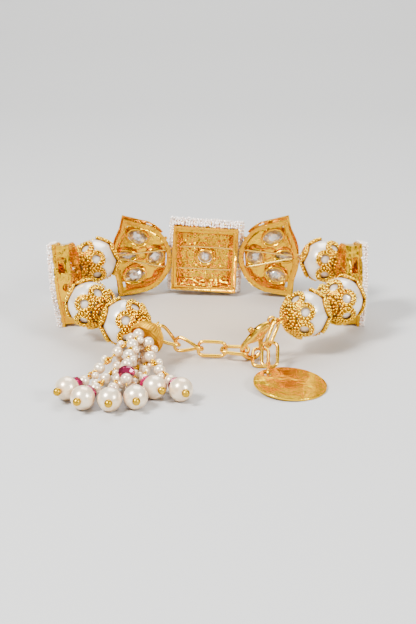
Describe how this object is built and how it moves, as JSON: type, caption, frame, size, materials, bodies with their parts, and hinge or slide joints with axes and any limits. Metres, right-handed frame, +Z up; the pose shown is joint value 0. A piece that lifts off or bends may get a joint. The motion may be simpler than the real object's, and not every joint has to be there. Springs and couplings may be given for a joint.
{
  "type": "strung cuff bracelet",
  "caption": "Flexible wide bracelet of open gold plaques with cut stones and capped pearl beads, closed by a lobster clasp with extension chain, pearl tassel and plain tag.",
  "frame": {"origin": "centre of the bounding box in X and Y, on the floor that the bracelet lies on", "axes": "+Z up from the floor, -Y toward the clasp, tassel and tag, +X to the right when the clasp is seen from the front"},
  "size_m": [0.0808, 0.0887, 0.0222],
  "materials": {
    "gold": "polished",
    "pearl": "satin",
    "seed_pearl": "satin",
    "tassel_pearl": "satin",
    "stone": "polished"
  },
  "bodies": {
    "bracelet": {"plaque_centre": "gold", "plaque_left": "gold", "plaque_right": "gold", "plaque_side_left": "gold", "plaque_side_right": "gold", "centre_stone": "stone", "petal_stones": "stone", "stones_side_left": "stone", "stones_side_right": "stone", "stone_left_tip": "stone", "stone_left_upper": "stone", "stone_left_lower": "stone", "stone_left_drop": "stone", "stone_right_tip": "stone", "stone_right_upper": "stone", "stone_right_lower": "stone", "stone_right_drop": "stone", "border_centre": "seed_pearl", "border_side_left": "seed_pearl", "border_side_right": "seed_pearl", "pearl_back_left": "pearl", "pearl_back_right": "pearl", "pearl_left_rear": "pearl", "pearl_left_front": "pearl", "pearl_right_rear": "pearl", "pearl_right_front": "pearl", "caps_back_left": "gold", "caps_back_right": "gold", "caps_left_rear": "gold", "caps_left_front": "gold", "caps_right_rear": "gold", "caps_right_front": "gold", "strand_upper": "gold", "strand_lower": "gold", "end_eye_left": "gold", "end_eye_right": "gold", "jump_ring_left": "gold", "jump_ring_right": "gold", "clasp_body": "gold", "chain_link_1": "gold", "chain_link_2": "gold", "chain_link_3": "gold", "chain_link_4": "gold", "tail_link_1": "gold", "tail_link_2": "gold", "tail_link_3": "gold", "tag_loop": "gold", "tag": "gold", "tassel_cap": "gold", "tassel_string_1": "tassel_pearl", "tassel_string_2": "tassel_pearl", "tassel_string_3": "tassel_pearl", "tassel_string_4": "tassel_pearl", "tassel_string_5": "tassel_pearl", "tassel_string_6": "tassel_pearl", "tassel_string_7": "tassel_pearl", "tassel_wires": "gold"},
    "clasp_gate": {"clasp_lever": "gold"}
  },
  "joints": [
    {"name": "clasp_lever_hinge", "type": "hinge", "parent": "bracelet", "child": "clasp_gate", "pos_m": [0.01284, -0.00896, 0.00629], "axis": [-0.2023, 0.9782, 0.0471], "range_deg": [0, 14], "stiffness_Nm_per_rad": 0.0005, "springref_deg": -20.05}
  ]
}
